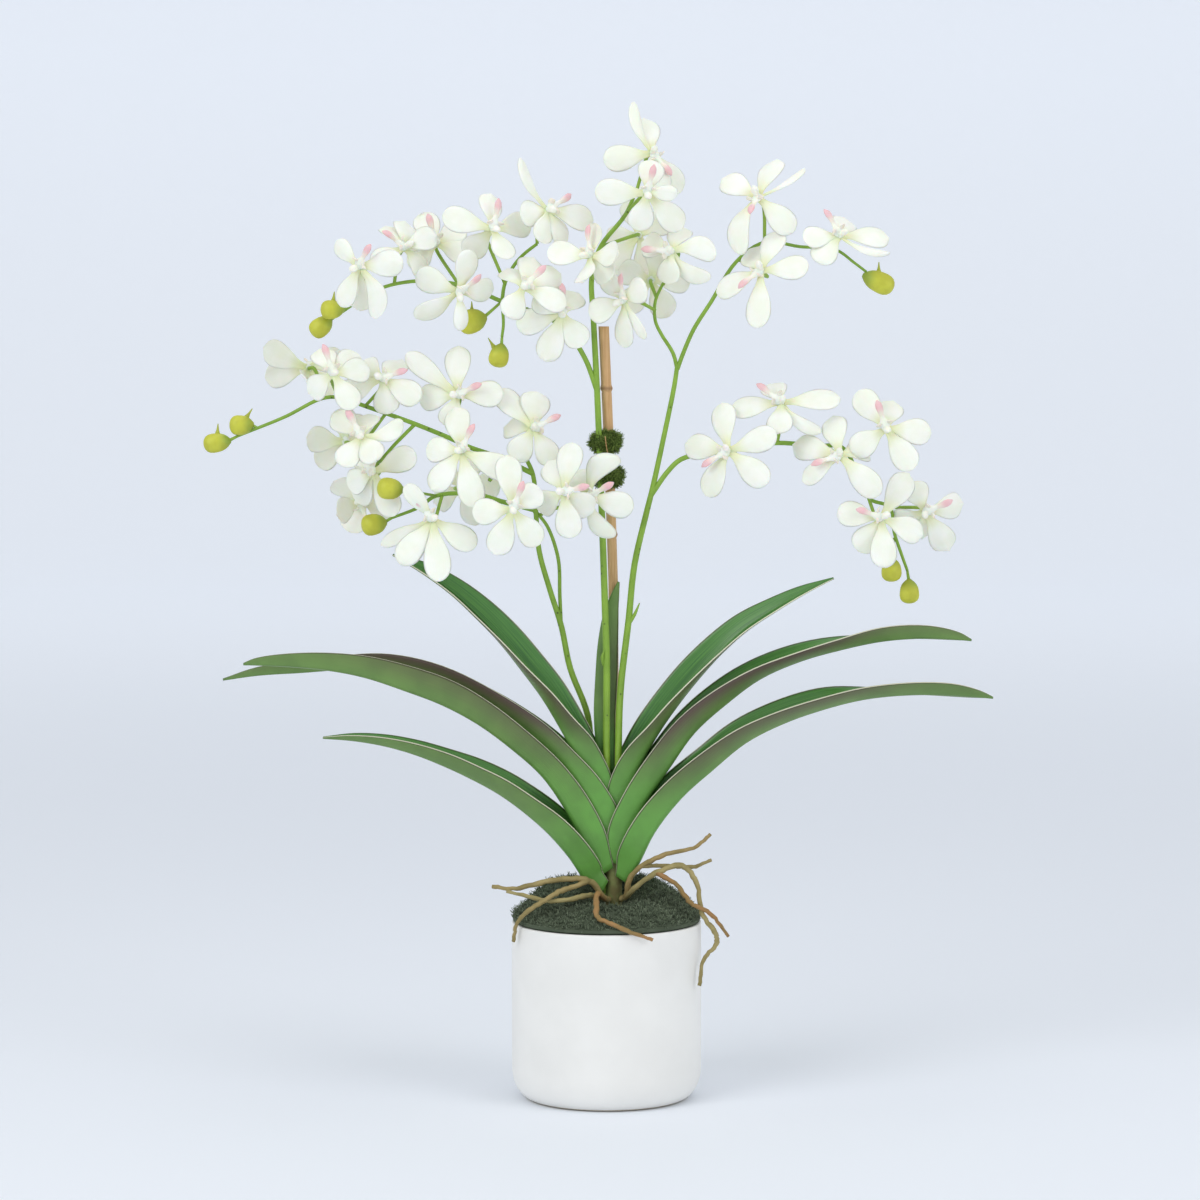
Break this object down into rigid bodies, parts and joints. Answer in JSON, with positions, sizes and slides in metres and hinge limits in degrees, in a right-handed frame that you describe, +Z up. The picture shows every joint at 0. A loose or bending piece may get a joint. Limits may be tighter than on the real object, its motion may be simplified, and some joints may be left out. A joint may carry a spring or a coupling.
{
  "type": "potted orchid",
  "caption": "Vanda orchid in a round white ceramic pot: a fan of folded strap leaves, aerial roots over moss, branching sprays of cream blooms and a tied bamboo stake.",
  "frame": {"origin": "centre of the pot's flat foot, on the surface it stands on", "axes": "+Z up, the leaf fan spreads along X, the front of the plant faces -Y"},
  "size_m": [0.5385, 0.1328, 0.681],
  "materials": {
    "ceramic": "matt white glaze",
    "medium": "chopped bark and moss fill",
    "moss": "grey-green cushion moss",
    "caudex": "green-brown stem bark",
    "leaf": "glossy thick strap leaf",
    "stem": "fresh green stalk with dark specks",
    "root": "dry aerial root",
    "tuft": "green moss tuft",
    "raffia": "raffia band",
    "cane": "split bamboo",
    "petal": "waxy cream-white petals with a pink-tipped lip"
  },
  "bodies": {
    "root": {"pot": "ceramic", "growing_medium": "medium", "moss_bed": "moss", "main_stem": "caudex", "leaf_right_1": "leaf", "leaf_right_2": "leaf", "leaf_right_3": "leaf", "leaf_left_1": "leaf", "leaf_left_2": "leaf", "leaf_left_3": "leaf", "leaf_left_4": "leaf", "leaf_centre": "leaf", "flower_stem_left": "stem", "flower_stem_centre": "stem", "flower_stem_right": "stem", "root_left": "root", "root_right": "root", "moss_tuft_upper": "tuft", "moss_tuft_lower": "tuft", "raffia_tie": "raffia", "bamboo_stake": "cane", "bloom_A1": "petal", "bloom_A2": "petal", "bloom_A3": "petal", "bloom_B1": "petal", "bloom_B2": "petal", "bloom_B3": "petal", "bloom_B4": "petal", "bloom_C1": "petal", "bloom_C2": "petal", "bloom_C3": "petal", "bloom_C4": "petal", "bloom_C5": "petal", "bloom_C6": "petal", "bloom_C7": "petal", "bloom_C8": "petal", "bloom_D1": "petal", "bloom_D2": "petal", "bloom_D3": "petal", "bloom_D4": "petal", "bloom_D5": "petal", "bloom_D6": "petal", "bloom_E1": "petal", "bloom_E2": "petal", "bloom_E3": "petal", "bloom_E4": "petal", "bloom_E5": "petal", "bloom_E6": "petal", "bloom_E7": "petal", "bloom_E8": "petal", "bloom_F1": "petal", "bloom_F2": "petal", "bloom_F3": "petal", "bloom_F4": "petal", "bloom_G1": "petal", "bloom_G2": "petal", "bloom_H1": "petal", "bloom_J1": "petal", "bloom_J2": "petal", "bloom_J3": "petal"}
  },
  "joints": []
}
